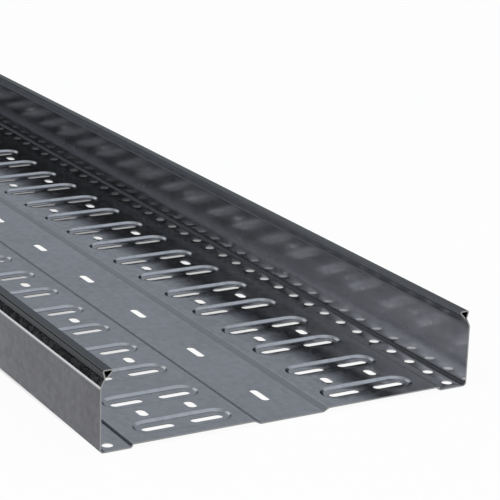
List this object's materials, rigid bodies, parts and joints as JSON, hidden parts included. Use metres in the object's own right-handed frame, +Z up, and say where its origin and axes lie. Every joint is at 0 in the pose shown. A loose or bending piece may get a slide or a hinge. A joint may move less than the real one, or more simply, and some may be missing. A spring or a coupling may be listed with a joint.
{
  "type": "perforated cable tray",
  "caption": "Straight perforated cable tray of galvanised sheet steel: low walls with a folded rim, base with raised fields, pressed cross ribs, slots and round edge holes.",
  "frame": {"origin": "middle of the tray's underside, halfway along its length and its width, on the floor it lies on", "axes": "+X along the tray from the end nearer its first rib to the other end, +Y across it, +Z up to the rim"},
  "size_m": [2, 0.302, 0.06],
  "materials": {
    "zinc": "pre-galvanised sheet, smooth zinc with a faint spangle, cut edges bare"
  },
  "bodies": {
    "root": {"tray": "zinc"}
  },
  "joints": []
}
